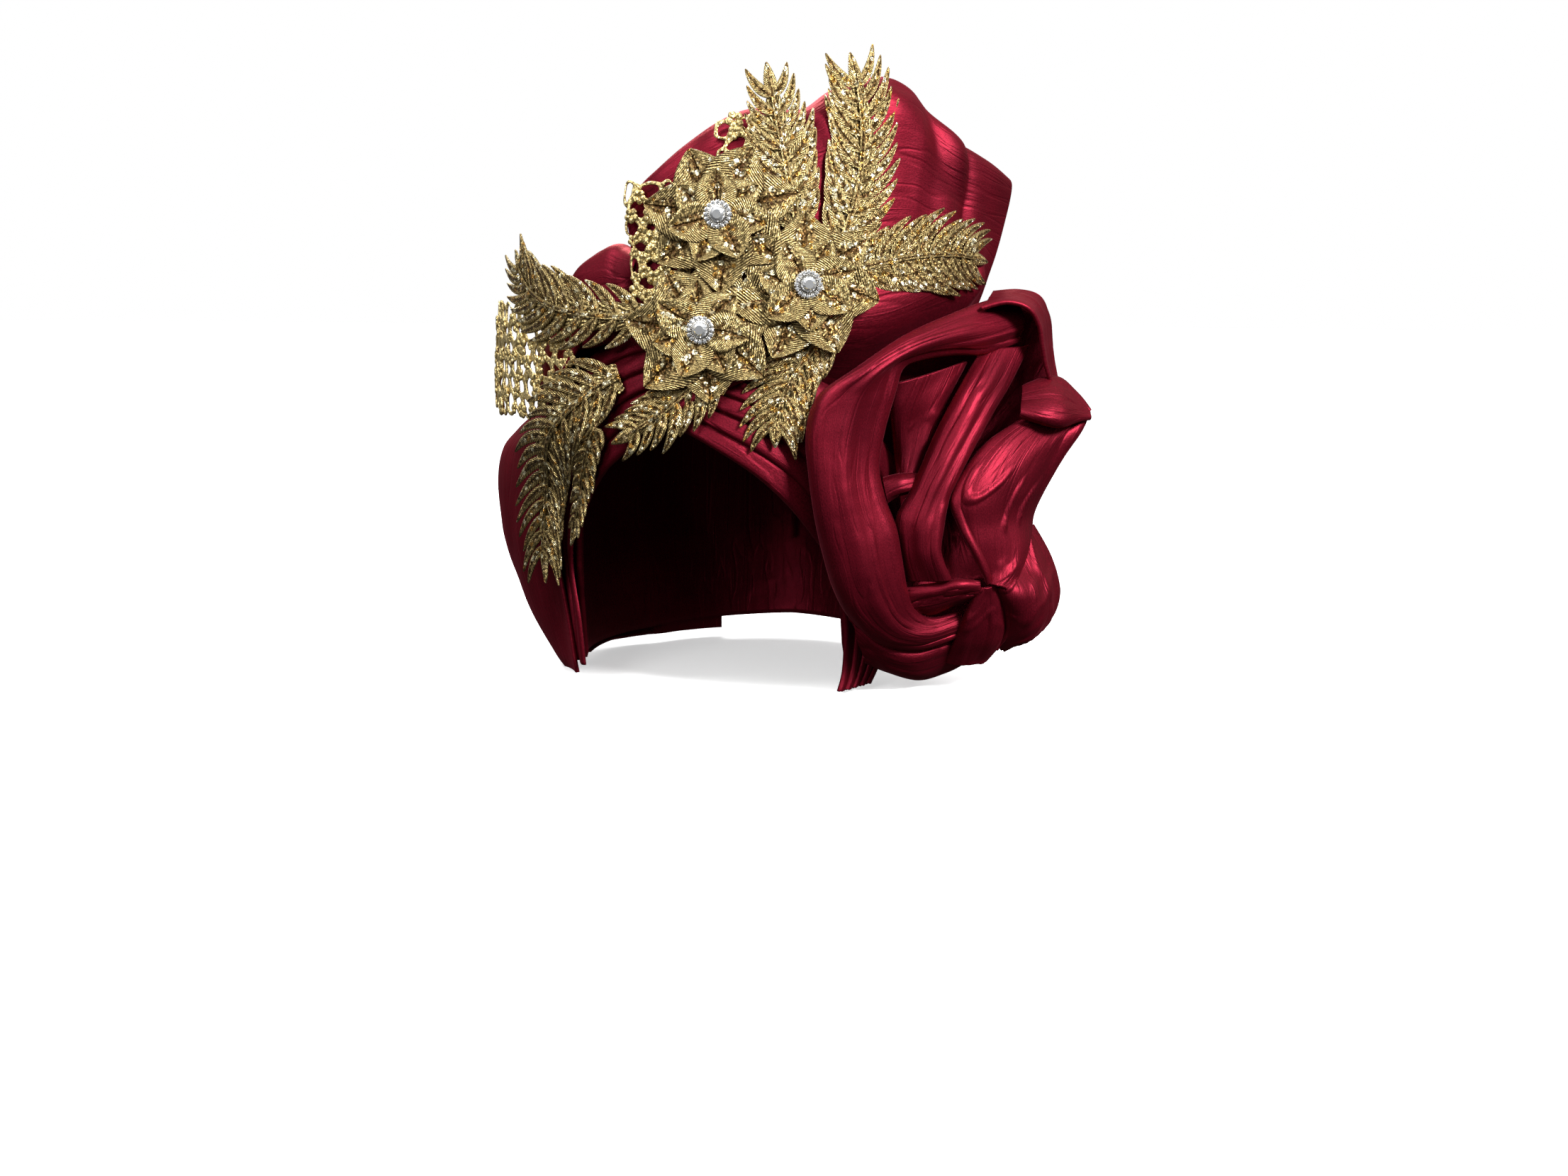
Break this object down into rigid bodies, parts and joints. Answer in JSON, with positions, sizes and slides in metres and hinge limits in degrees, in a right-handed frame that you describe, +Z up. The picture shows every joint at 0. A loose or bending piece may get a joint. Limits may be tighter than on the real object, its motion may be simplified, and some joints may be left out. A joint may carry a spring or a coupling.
{
  "type": "tied gele head tie",
  "caption": "Ready-tied burgundy head tie with pleated bands over the forehead, a tall standing fold, a side rosette of turned cloth and a gold lace spray with rhinestone flowers.",
  "frame": {"origin": "mount head_seat: the top of the wearer's crown, inside the cloth", "axes": "-Y is where the face looks, +X is the wearer's left, the rosette's side, +Z is up"},
  "size_m": [0.2834, 0.1983, 0.2719],
  "materials": {
    "burgundy_silk": "slubby raw silk with a satin sheen",
    "gold_lace": "metallic thread lace with satin stitch and sequins",
    "rhinestone": "cut glass, foil backed"
  },
  "bodies": {
    "root": {"crown_wrap": "burgundy_silk", "band_left": "burgundy_silk", "band_right": "burgundy_silk", "side_drape": "burgundy_silk", "top_fan": "burgundy_silk", "small_lobe": "burgundy_silk", "rosette_back": "burgundy_silk", "rosette_outer_turn": "burgundy_silk", "rosette_inner_turn": "burgundy_silk", "rosette_sash": "burgundy_silk", "rosette_heart": "burgundy_silk", "rosette_petal": "burgundy_silk", "rosette_petal_flap": "burgundy_silk", "rosette_valley": "burgundy_silk", "rosette_cross_fold": "burgundy_silk", "rosette_lower_sash": "burgundy_silk", "rosette_lower_petal": "burgundy_silk", "rosette_lower_turn": "burgundy_silk", "rosette_curl": "burgundy_silk", "leaf_1": "gold_lace", "leaf_2": "gold_lace", "leaf_3": "gold_lace", "leaf_4": "gold_lace", "leaf_5": "gold_lace", "leaf_6": "gold_lace", "leaf_7": "gold_lace", "leaf_8": "gold_lace", "net_left": "gold_lace", "net_fan": "gold_lace", "net_top": "gold_lace", "flower_upper": "gold_lace", "flower_upper_inner": "gold_lace", "flower_right": "gold_lace", "flower_right_inner": "gold_lace", "flower_lower": "gold_lace", "flower_lower_inner": "gold_lace", "stone_upper": "rhinestone", "stone_right": "rhinestone", "stone_lower": "rhinestone"}
  },
  "joints": []
}
